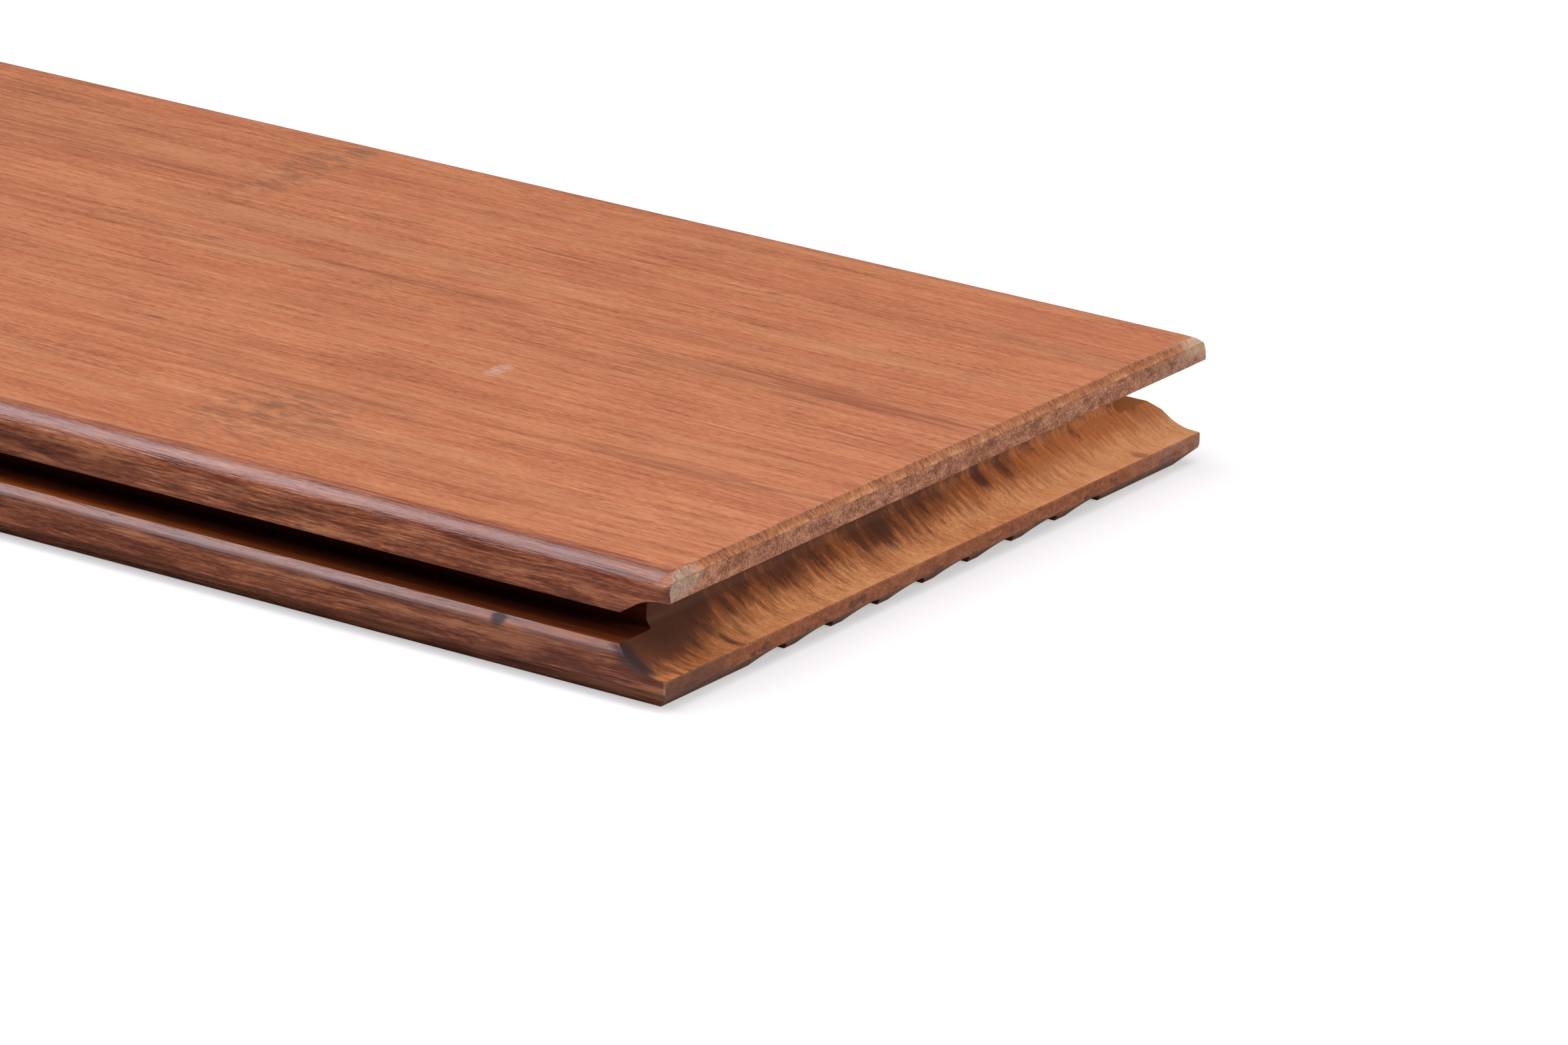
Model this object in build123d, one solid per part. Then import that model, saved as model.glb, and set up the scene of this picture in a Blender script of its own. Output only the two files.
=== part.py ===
"""Bamboo decking board: one solid plank with a clip groove along each side and a bell-shaped groove across one end.

Lengths are in millimetres. X runs along the board with the grooved end at +X, Y across it and Z up. The board
lies face up on Z = 0, with the origin below the middle of its bounding box.
"""

import os

from build123d import *

# Board
board_length = 1850.0
board_width = 140.0
board_thickness = 20.0
top_edge_radius = 3.0
bottom_edge_chamfer = 3.0

# Clip groove along each side, with a chamfer on the lip below it
clip_groove_middle = 10.6
clip_groove_height = 4.9
clip_groove_depth = 9.2
clip_groove_corner_radius = 0.5
lower_lip_chamfer = 1.2

# Relief grooves along the underside
relief_groove_count = 8
relief_groove_pitch = 11.8
relief_groove_width = 9.0
relief_groove_depth = 2.2

# Groove across the +X end: level at its mouth, then narrowing to a blunt back
end_groove_middle = 10.4
end_groove_mouth_height = 11.1
end_groove_back_height = 3.2
end_groove_depth = 9.8
end_groove_land = 3.7
end_groove_cove_radius = 8.2
end_groove_back_radius = 1.2
end_lower_lip_setback = 0.25

# Edges of both ends
end_top_chamfer = 1.0
end_bottom_chamfer = 2.6

# How far a cutter reaches outside the board
cutter_overrun = 5.0

# Places that follow from the sizes above
half_length = board_length / 2
half_width = board_width / 2
clip_groove_floor = clip_groove_middle - clip_groove_height / 2
clip_groove_ceiling = clip_groove_middle + clip_groove_height / 2
end_lower_lip_x = half_length - end_lower_lip_setback


def outline(corners):
    """Face bounded by straight lines between the corners (u, v, radius), each rounded to its own radius."""
    points = [(u, v) for u, v, radius in corners]
    radii = [radius for u, v, radius in corners]
    return make_face(FilletPolyline(*points, radius=radii, close=True))


def rectangle(low_x, high_x, low_z, high_z):
    """Rectangular face between two lengths and two heights."""
    middle = Pos((low_x + high_x) / 2, (low_z + high_z) / 2)
    return middle * Rectangle(high_x - low_x, high_z - low_z)


def side_corners(side):
    """Corners of one long side from the underside to the top, as (y, z, radius); side is 1 or -1."""
    edge = side * half_width
    inner = side * (half_width - clip_groove_depth)
    return [
        (edge - side * bottom_edge_chamfer, 0.0, 0.0),
        (edge, bottom_edge_chamfer, 0.0),
        (edge, clip_groove_floor - lower_lip_chamfer, 0.0),
        (edge - side * lower_lip_chamfer, clip_groove_floor, 0.0),
        (inner, clip_groove_floor, clip_groove_corner_radius),
        (inner, clip_groove_ceiling, clip_groove_corner_radius),
        (edge, clip_groove_ceiling, 0.0),
        (edge, board_thickness, top_edge_radius),
    ]


def relief_groove_cutters():
    """Round cutters for the underside, side by side about the middle of the section."""
    half = relief_groove_width / 2
    radius = (half**2 + relief_groove_depth**2) / (2 * relief_groove_depth)
    first_y = -relief_groove_pitch * (relief_groove_count - 1) / 2
    centre_z = relief_groove_depth - radius
    places = [(first_y + n * relief_groove_pitch, centre_z) for n in range(relief_groove_count)]
    return [Pos(y, z) * Circle(radius) for y, z in places]


def end_groove_cutter():
    """Bell shape of the end groove, with its mouth open past the end."""
    low_mouth = end_groove_middle - end_groove_mouth_height / 2
    high_mouth = end_groove_middle + end_groove_mouth_height / 2
    low_back = end_groove_middle - end_groove_back_height / 2
    high_back = end_groove_middle + end_groove_back_height / 2
    outside_x = half_length + cutter_overrun
    land_x = half_length - end_groove_land
    back_x = half_length - end_groove_depth
    return outline(
        [
            (outside_x, low_mouth, 0.0),
            (land_x, low_mouth, end_groove_cove_radius),
            (back_x, low_back, end_groove_back_radius),
            (back_x, high_back, end_groove_back_radius),
            (land_x, high_mouth, end_groove_cove_radius),
            (outside_x, high_mouth, 0.0),
        ]
    )


def chamfer_cutter(end_x, way, edge_z, up, size):
    """Corner cut off where an end meets the top or the underside.

    way is 1 for the +X end and -1 for the other; up is 1 for the top and -1 for the underside.
    """
    reach = size + cutter_overrun
    outside_x = end_x + way * cutter_overrun
    outside_z = edge_z + up * cutter_overrun
    return outline(
        [
            (end_x - way * reach, outside_z, 0.0),
            (outside_x, edge_z - up * reach, 0.0),
            (outside_x, outside_z, 0.0),
        ]
    )


# The section, carried along the whole length
section = outline(side_corners(1) + side_corners(-1)[::-1]) - relief_groove_cutters()
moulded = extrude(Plane.YZ * section, amount=half_length, both=True)

# The +X end is grooved, with its lower lip set back so that boards butted together meet at the top
grooved_end = end_groove_cutter()
grooved_end += rectangle(
    end_lower_lip_x,
    half_length + cutter_overrun,
    -cutter_overrun,
    end_groove_middle,
)
grooved_end += chamfer_cutter(half_length, 1, board_thickness, 1, end_top_chamfer)
grooved_end += chamfer_cutter(end_lower_lip_x, 1, 0.0, -1, end_bottom_chamfer)

# The other end is plain
plain_end = chamfer_cutter(-half_length, -1, board_thickness, 1, end_top_chamfer)
plain_end += chamfer_cutter(-half_length, -1, 0.0, -1, end_bottom_chamfer)

# Both ends are cut right across the width
end_cutters = extrude(
    Plane.XZ * (grooved_end + plain_end),
    amount=half_width + cutter_overrun,
    both=True,
)
board = moulded - end_cutters

os.makedirs("parts", exist_ok=True)
export_step(board, "parts/decking_board.step")
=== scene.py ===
"""Bamboo decking board: the dressed board with its finishes, and the floor, light and camera around it.

The frame is the CAD frame: X along the board with the grooved end at +X, Y across it, Z up, in metres.
The board's sizes below are in millimetres and become metres when the mesh is written.
"""

import itertools
import math
from types import SimpleNamespace

import bpy
import numpy as np
from mathutils import Matrix, Vector


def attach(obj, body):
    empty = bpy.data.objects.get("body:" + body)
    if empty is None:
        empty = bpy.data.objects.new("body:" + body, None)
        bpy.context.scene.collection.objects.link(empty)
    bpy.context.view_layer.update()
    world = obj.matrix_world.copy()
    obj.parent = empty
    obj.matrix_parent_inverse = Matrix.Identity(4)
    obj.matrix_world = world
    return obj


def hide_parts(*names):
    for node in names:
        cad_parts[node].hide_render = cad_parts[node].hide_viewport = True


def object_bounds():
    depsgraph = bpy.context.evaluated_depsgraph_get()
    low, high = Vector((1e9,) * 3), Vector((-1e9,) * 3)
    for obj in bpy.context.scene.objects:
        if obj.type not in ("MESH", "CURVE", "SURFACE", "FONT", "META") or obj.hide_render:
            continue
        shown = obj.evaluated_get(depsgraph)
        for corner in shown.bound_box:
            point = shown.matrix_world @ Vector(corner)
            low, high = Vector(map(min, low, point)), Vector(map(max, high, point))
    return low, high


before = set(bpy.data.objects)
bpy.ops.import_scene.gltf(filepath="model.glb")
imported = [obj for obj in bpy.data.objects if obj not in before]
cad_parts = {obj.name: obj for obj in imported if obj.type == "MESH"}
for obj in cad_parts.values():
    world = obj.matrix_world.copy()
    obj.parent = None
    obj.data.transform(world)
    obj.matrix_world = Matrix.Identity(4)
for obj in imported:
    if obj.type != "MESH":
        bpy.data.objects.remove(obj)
cad_low, cad_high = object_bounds()

MM = 0.001

# Overall sizes in millimetres, from the frame
LENGTH, WIDTH, THICKNESS = (round((high - low) / MM, 3) for low, high in zip(cad_low, cad_high))

# Sizes of the edges and grooves in millimetres, as in the CAD
TOP_ROUND = 3.0
BOTTOM_CHAMFER = 3.0
CLIP_FLOOR = 8.15
CLIP_CEILING = 13.05
CLIP_DEPTH = 9.2
CLIP_CORNER = 0.5
LIP_CHAMFER = 1.2
RELIEF_COUNT = 8
RELIEF_PITCH = 11.8
RELIEF_WIDTH = 9.0
RELIEF_DEPTH = 2.2
JOINT_MIDDLE = 10.4
JOINT_MOUTH = 11.1
JOINT_BACK = 3.2
JOINT_DEPTH = 9.8
JOINT_LAND = 3.7
JOINT_COVE = 8.2
JOINT_BACK_ROUND = 1.2
LOWER_LIP_SETBACK = 0.25
END_TOP_CHAMFER = 1.0
END_BOTTOM_CHAMFER = 2.6

# Slight easings that only the skin has: the upper lip's lower edge and the end groove's mouth
LIP_ARRIS = 0.12
MOUTH_DRAFT = 0.04
MOUTH_DRAFT_REACH = 1.5

# Places that follow from the sizes
HALF_LENGTH = LENGTH / 2
HALF_WIDTH = WIDTH / 2
CORE_HALF = HALF_WIDTH - CLIP_DEPTH + CLIP_CORNER
RELIEF_FIRST = -RELIEF_PITCH * (RELIEF_COUNT - 1) / 2
MOUTH_FLOOR = JOINT_MIDDLE - JOINT_MOUTH / 2
MOUTH_ROOF = JOINT_MIDDLE + JOINT_MOUTH / 2
JOINT_SLOPE = (JOINT_MOUTH - JOINT_BACK) / 2 / (JOINT_DEPTH - JOINT_LAND)
JOINT_ANGLE = math.atan(JOINT_SLOPE)

# The end wall is four times as fine across the board as the long faces; each long edge has a wing of columns
FINE = 4
WING = 7

# How far from an end the rows of the long faces still bend to follow its profile, in millimetres
NEAR_PULL_REACH = 60.0
FAR_PULL_REACH = 30.0

# Points closer than a ten-thousandth of a millimetre are welded
WELD_STEPS = 1e4

# Rows of the grooved end this deep, and this far past the mouth's height, still count as inside the groove
RAW_FROM_DEPTH = 0.3
MOUTH_SLACK = 0.1

# Edges that turn by more than this stay sharp
SHARP_ANGLE = math.radians(30)

# Finishes, in the order of the board's material slots
OILED, RAW, SEALED, GROOVE = range(4)


def relief_rise(y):
    """Height of the underside at y: zero on the flats, a circular arc over each relief groove."""
    half = RELIEF_WIDTH / 2
    radius = (half**2 + RELIEF_DEPTH**2) / (2 * RELIEF_DEPTH)
    nearest = np.clip(np.round((y - RELIEF_FIRST) / RELIEF_PITCH), 0, RELIEF_COUNT - 1)
    off = np.minimum(np.abs(y - RELIEF_FIRST - nearest * RELIEF_PITCH), half)
    return np.sqrt(radius**2 - off**2) - (radius - RELIEF_DEPTH)


def side_inset(z):
    """Inset of the long sides at height z: chamfers at the bottom and below the groove, a round on top."""
    above = np.clip(z - (THICKNESS - TOP_ROUND), 0, TOP_ROUND)
    top = TOP_ROUND - np.sqrt(TOP_ROUND**2 - above**2)
    bottom = np.clip(BOTTOM_CHAMFER - z, 0, None)
    lip = np.where(z <= CLIP_FLOOR, np.clip(z - (CLIP_FLOOR - LIP_CHAMFER), 0, None), 0)
    arris = np.where(z >= CLIP_CEILING, np.clip(LIP_ARRIS - (z - CLIP_CEILING), 0, None), 0)
    return top + bottom + lip + arris


def core_inset(z):
    """Inset of the clip groove's inner wall at height z: its depth, less a fillet at floor and ceiling."""
    near = np.clip(CLIP_CORNER - np.minimum(z - CLIP_FLOOR, CLIP_CEILING - z), 0, CLIP_CORNER)
    return CLIP_DEPTH - CLIP_CORNER + np.sqrt(CLIP_CORNER**2 - near**2)


def foot_inset(z):
    """Inset of an end at height z near the underside: a straight chamfer."""
    return np.clip(END_BOTTOM_CHAMFER - z, 0, None)


def far_inset(z):
    """Inset of the plain end at height z: the chamfers at its bottom and top."""
    return foot_inset(z) + np.clip(z - (THICKNESS - END_TOP_CHAMFER), 0, None)


def flank_rise(depth):
    """How far the end groove's flank has closed in at a depth: level, then a cove arc, then a slope.

    A slight draft opens its mouth.
    """
    start = JOINT_LAND - JOINT_COVE * math.tan(JOINT_ANGLE / 2)
    reach = JOINT_COVE * math.sin(JOINT_ANGLE)
    run = np.clip(depth - start, 0, reach)
    arc = JOINT_COVE - np.sqrt(JOINT_COVE**2 - run**2)
    draft = MOUTH_DRAFT * np.clip(1 - depth / MOUTH_DRAFT_REACH, 0, 1)
    return np.where(depth < start + reach, arc, JOINT_SLOPE * (depth - JOINT_LAND)) - draft


def throat_depth(z):
    """Depth of the end groove at a height within the clip grooves: slopes, corner fillets and a flat back."""
    turn = (math.pi / 2 - JOINT_ANGLE) / 2
    off = np.abs(z - JOINT_MIDDLE)
    flat = JOINT_BACK / 2 - JOINT_BACK_ROUND * math.tan(turn)
    reach = flat + JOINT_BACK_ROUND * math.sin(2 * turn)
    over = np.clip(off - flat, 0, JOINT_BACK_ROUND)
    fillet = JOINT_DEPTH - JOINT_BACK_ROUND + np.sqrt(JOINT_BACK_ROUND**2 - over**2)
    flank = JOINT_LAND + (JOINT_MOUTH / 2 - off) / JOINT_SLOPE
    return np.where(off < reach, fillet, flank)


def lattice_noise(points, seed):
    """Smooth noise from -1 to 1: random values on a whole-number lattice, eased in between."""
    cell = np.floor(points)
    part = points - cell
    part = part * part * (3 - 2 * part)
    total = np.zeros(len(points))
    for corner in itertools.product((0, 1), repeat=3):
        turn = (cell + corner) @ np.array([127.1, 311.7, 74.7]) + seed * 57.31
        value = np.modf(np.sin(turn) * 43758.5453)[0]
        total += value * np.prod(np.where(corner, part, 1 - part), axis=1)
    return total


def smoothstep(value, low, high):
    """Eased step from 0 at low to 1 at high."""
    share = np.clip((value - low) / (high - low), 0, 1)
    return share * share * (3 - 2 * share)


def stations():
    """Distances from the +X end at which the long faces have a row of points, and each end's pull there."""
    near_end = np.array([0.0, 1.0, 2.2, 4.0, 7.0, 12.0, 20.0, 32.0, 48.0, 70.0, 100.0, 140.0, 190.0, 250.0])
    middle = np.array([330.0, 430.0, 550.0, 700.0, 850.0, 1000.0, 1150.0, 1300.0, 1420.0])
    far_end = LENGTH - np.array([330.0, 250.0, 180.0, 120.0, 75.0, 45.0, 25.0, 12.0, 4.0, 0.0])
    distance = np.concatenate([near_end, middle, far_end])[::-1]
    near_pull = np.clip(1 - distance / NEAR_PULL_REACH, 0, 1) ** 2
    far_pull = np.clip(1 - (LENGTH - distance) / FAR_PULL_REACH, 0, 1) ** 2
    return distance, near_pull, far_pull


def columns(ratio):
    """Places across the board and each one's wing share.

    The wings reach past the core to the long edges, and the rest follows the relief grooves.
    """
    middles = RELIEF_FIRST + RELIEF_PITCH * np.arange(RELIEF_COUNT)
    groove_edges = np.stack([middles - RELIEF_WIDTH / 2, middles + RELIEF_WIDTH / 2], axis=-1).ravel()
    edges = np.concatenate([[-CORE_HALF], groove_edges, [CORE_HALF]])
    counts = [8] + [8, 2] * (RELIEF_COUNT - 1) + [8, 8]
    runs = [np.linspace(a, b, n * ratio, endpoint=False) for a, b, n in zip(edges, edges[1:], counts)]
    inner = np.concatenate(runs + [[CORE_HALF]])
    share = np.linspace(0, 1, WING * ratio + 1)[1:]
    wing = np.full(len(share), CORE_HALF)
    place = np.concatenate([-wing, inner, wing])
    lift = np.concatenate([-share[::-1], np.zeros(len(inner)), share])
    return place, lift


def lower_levels():
    """Heights and +X end depths of the lower lip's rows, from the underside to the clip groove's floor."""
    chamfers = [0, 0.08, 0.4, 0.9, 1.4, 1.9, 2.35, 2.52, 2.6, 2.68, 2.92, 3.0, 3.08]
    foot = np.array(chamfers + [3.5, 4.0, 4.4, 4.66])
    break_depth = JOINT_LAND + (CLIP_FLOOR - LIP_CHAMFER - MOUTH_FLOOR) / JOINT_SLOPE
    lip_depth = np.linspace(break_depth, throat_depth(CLIP_FLOOR), 6)
    depth = np.concatenate([np.arange(0.4, 6.9, 0.4), lip_depth])
    heights = MOUTH_FLOOR + flank_rise(depth)
    foot_depth = LOWER_LIP_SETBACK + foot_inset(foot)
    return np.concatenate([foot, heights]), np.concatenate([foot_depth, depth])


def core_levels():
    """Heights and +X end depths of the core's rows, between the clip groove's floor and ceiling."""
    low = np.array([0, 0.03, 0.1, 0.3, 0.45, 0.7, 1.0, 1.3, 1.75, 2.25])
    high = np.array([0, 0.03, 0.1, 0.3, 0.5, 0.7, 0.85, 1.1, 1.4, 1.7, 2.15])
    heights = np.concatenate([CLIP_FLOOR + low, CLIP_CEILING - high[::-1]])
    return heights, throat_depth(heights)


def upper_levels():
    """Heights and +X end depths of the upper lip's rows, from the clip groove's ceiling to the top."""
    depth = np.linspace(throat_depth(CLIP_CEILING), 0.15, 21)
    flank = MOUTH_ROOF - flank_rise(depth)
    face = np.array([16.15, 16.5, 16.9, 17.3, 17.7, 18.1, 18.45, 18.75, 18.9])
    chamfer = THICKNESS - END_TOP_CHAMFER + END_TOP_CHAMFER * np.linspace(0, 1, 9)
    heights = np.concatenate([flank, face, chamfer])
    heights[1] = max(heights[1], CLIP_CEILING + LIP_ARRIS)
    depths = np.concatenate([depth, np.zeros(len(face)), chamfer - (THICKNESS - END_TOP_CHAMFER)])
    return heights, depths


class Skin:
    """Patches of grid points in millimetres, welded into one closed surface where their borders meet."""

    def __init__(self):
        self.points, self.quads, self.tris, self.quad_zone, self.tri_zone = [], [], [], [], []
        self.count = 0

    def put(self, x, y, z):
        """Adds a grid of points and returns their numbers in the grid's shape."""
        grid = np.stack(np.broadcast_arrays(x, y, z), axis=-1)
        ids = self.count + np.arange(grid[..., 0].size).reshape(grid.shape[:2])
        self.points.append(grid.reshape(-1, 3))
        self.count += ids.size
        return ids

    def cover(self, ids, zone, flip=False):
        """Quads over a grid of point numbers; zone is one finish number, or one for each row of quads."""
        quads = np.stack([ids[:-1, :-1], ids[:-1, 1:], ids[1:, 1:], ids[1:, :-1]], axis=-1)
        zones = np.broadcast_to(np.reshape(zone, (-1, 1)), quads.shape[:2])
        quads = quads.reshape(-1, 4)
        self.quads.append(quads[:, ::-1] if flip else quads)
        self.quad_zone.append(zones.ravel())

    def zip(self, fine, coarse, zone, flip=False):
        """Triangles between a fine row of points and a coarse one with a quarter as many steps."""
        a, b = coarse[:-1], coarse[1:]
        f = [fine[n : len(fine) - FINE + n : FINE] for n in range(FINE)] + [fine[FINE::FINE]]
        fans = [(a, f[0], f[1]), (a, f[1], f[2]), (a, f[2], b), (b, f[2], f[3]), (b, f[3], f[4])]
        tris = np.concatenate([np.stack(fan, axis=-1) for fan in fans])
        self.tris.append(tris[:, ::-1] if flip else tris)
        self.tri_zone.append(np.full(len(tris), zone))

    def weld(self):
        """Joins the points that share a place; returns points, quads, triangles and their finish numbers."""
        points = np.concatenate(self.points)
        keys = np.round(points * WELD_STEPS).astype(np.int64)
        _, first, same = np.unique(keys, axis=0, return_index=True, return_inverse=True)
        same = same.ravel()
        quads = same[np.concatenate(self.quads)]
        tris = same[np.concatenate(self.tris)]
        return points[first], quads, tris, np.concatenate(self.quad_zone), np.concatenate(self.tri_zone)


def add_walls(skin, levels, inset, core):
    """Both long sides and both ends of one tube of the board; core tubes have no wings and no relief grooves.

    A long side is its inset at each height, carried along the stations. An end is its depth at each height,
    carried along the columns, with the rows of the bottom chamfer squeezed to start over the relief grooves.
    """
    heights, depths = levels
    distance, pull, far_pull = stations()
    z = heights[:, None]
    half = HALF_WIDTH - inset(heights)[:, None]
    x = HALF_LENGTH - distance - depths[:, None] * pull + far_inset(z) * far_pull
    zone = GROOVE if core else OILED
    skin.cover(skin.put(x, -half, z), zone)
    skin.cover(skin.put(x, half, z), zone, flip=True)

    middle_depth = (depths[:-1] + depths[1:]) / 2
    middle_height = (heights[:-1] + heights[1:]) / 2
    in_mouth = (middle_height > MOUTH_FLOOR - MOUTH_SLACK) & (middle_height < MOUTH_ROOF + MOUTH_SLACK)
    inside = in_mouth & (middle_depth > RAW_FROM_DEPTH)
    for ratio in (FINE, 1):
        place, lift = columns(ratio)
        if core:
            cut = slice(WING * ratio, len(place) - WING * ratio)
            y = place[cut] * half / CORE_HALF
            rise = z + 0 * y
        else:
            y = place + lift * (half - CORE_HALF)
            rise = z + relief_rise(y) * np.clip(1 - z / END_BOTTOM_CHAMFER, 0, 1)
        if ratio == FINE:
            foot = LOWER_LIP_SETBACK + foot_inset(rise)
            depth = np.where(rise < MOUTH_FLOOR - MOUTH_SLACK, foot, depths[:, None])
            skin.cover(skin.put(HALF_LENGTH - depth, y, rise), np.where(inside, RAW, SEALED))
        else:
            skin.cover(skin.put(far_inset(rise) - HALF_LENGTH, y, rise), SEALED, flip=True)


def add_shelf(skin, z, outer, flip):
    """Floor or ceiling of both clip grooves at height z, from the inner wall out to an inset."""
    distance, pull, far_pull = stations()
    x = (HALF_LENGTH - distance - throat_depth(z) * pull + far_inset(z) * far_pull)[:, None]
    inner = core_inset(z)
    for side in (-1, 1):
        turned = flip != (side > 0)
        y, fine_y = [side * (HALF_WIDTH - np.linspace(inner, outer, WING * n + 1)) for n in (1, FINE)]
        coarse = skin.put(x[:-1], y, z)
        fine = skin.put(x[-1:], fine_y, z)
        skin.cover(coarse, GROOVE, flip=turned)
        skin.zip(fine[0], coarse[-1], GROOVE, flip=not turned)


def add_cap(skin, z, top):
    """The top, or the underside with its relief grooves, carried along the stations."""
    distance, pull, far_pull = [part[:-1, None] for part in stations()]
    half = HALF_WIDTH - side_inset(z)
    y, fine_y = [place + lift * (half - CORE_HALF) for place, lift in (columns(1), columns(FINE))]
    rise, fine_rise = [z + (0 if top else 1) * relief_rise(across) for across in (y, fine_y)]
    feet = [LOWER_LIP_SETBACK + foot_inset(r) for r in (rise, fine_rise)]
    depth, fine_depth = [END_TOP_CHAMFER, END_TOP_CHAMFER] if top else feet
    coarse = skin.put(HALF_LENGTH - distance - depth * pull + far_inset(rise) * far_pull, y, rise)
    fine = skin.put(HALF_LENGTH - fine_depth + 0 * fine_y[None], fine_y, fine_rise)
    skin.cover(coarse, OILED, flip=top)
    skin.zip(fine[0], coarse[-1], OILED, flip=not top)


def tear_end(points):
    """Moves the points of the +X end where its edges are torn and chipped; always inward.

    The chamfer's edges are eaten back by noise, and the two upper corners have lost a crumbled patch.
    """
    x, y, z = points.T
    ragged = lattice_noise(np.stack([y / 1.1, z / 2.0, x * 0], axis=-1), 3)
    fine = lattice_noise(np.stack([y / 0.35, z / 0.5, x * 0], axis=-1), 5)
    from_top = (x - (HALF_LENGTH - END_TOP_CHAMFER) + THICKNESS - z) / 2
    band = smoothstep(from_top, -0.25, 0.05) * (1 - smoothstep(from_top, 0.95, 1.25))
    eaten = band * (0.06 + 0.035 * ragged + 0.05 * fine)
    near_chip = smoothstep(y, -61.0, -65.5) * smoothstep(z + 0.8 * ragged, 16.6, 17.6)
    far_chip = smoothstep(y, 64.0, 67.5) * smoothstep(z + 0.8 * ragged, 15.8, 17.0)
    at_end = smoothstep(x, HALF_LENGTH - 3.0, HALF_LENGTH - 1.2)
    near_loss = near_chip * (0.15 + 0.08 * ragged + 0.06 * fine)
    far_loss = far_chip * (0.04 + 0.02 * ragged)
    crumbled = at_end * (near_loss + far_loss)
    rubbed = 0.12 * smoothstep(y, 64.5, 69.5) * smoothstep(z, 16.5, 19.6) * at_end
    loss = np.clip(eaten + crumbled + rubbed, 0, None)
    moved = points.copy()
    moved[:, 0] -= loss
    moved[:, 2] -= loss * smoothstep(z, 18.6, 19.4) * 0.6
    return moved


def board_mesh():
    """The board's closed surface, shaded smooth with its sharp edges kept.

    Three tubes of walls are stacked (lower lip, core, upper lip), with the floors and ceilings of the
    clip grooves between them, and closed by the top and the underside.
    """
    skin = Skin()
    add_walls(skin, lower_levels(), side_inset, core=False)
    add_walls(skin, core_levels(), core_inset, core=True)
    add_walls(skin, upper_levels(), side_inset, core=False)
    add_shelf(skin, CLIP_FLOOR, side_inset(CLIP_FLOOR), flip=False)
    add_shelf(skin, CLIP_CEILING, LIP_ARRIS, flip=True)
    add_cap(skin, 0.0, top=False)
    add_cap(skin, THICKNESS, top=True)
    points, quads, tris, quad_zone, tri_zone = skin.weld()
    points = tear_end(points)
    mesh = bpy.data.meshes.new("decking_board_skin")
    mesh.from_pydata((points * MM).tolist(), [], quads.tolist() + tris.tolist())
    mesh.polygons.foreach_set("material_index", np.concatenate([quad_zone, tri_zone]).astype(np.int32))
    mesh.polygons.foreach_set("use_smooth", np.ones(len(mesh.polygons), dtype=bool))
    mesh.update()
    mesh.set_sharp_from_angle(angle=SHARP_ANGLE)
    return mesh


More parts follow.
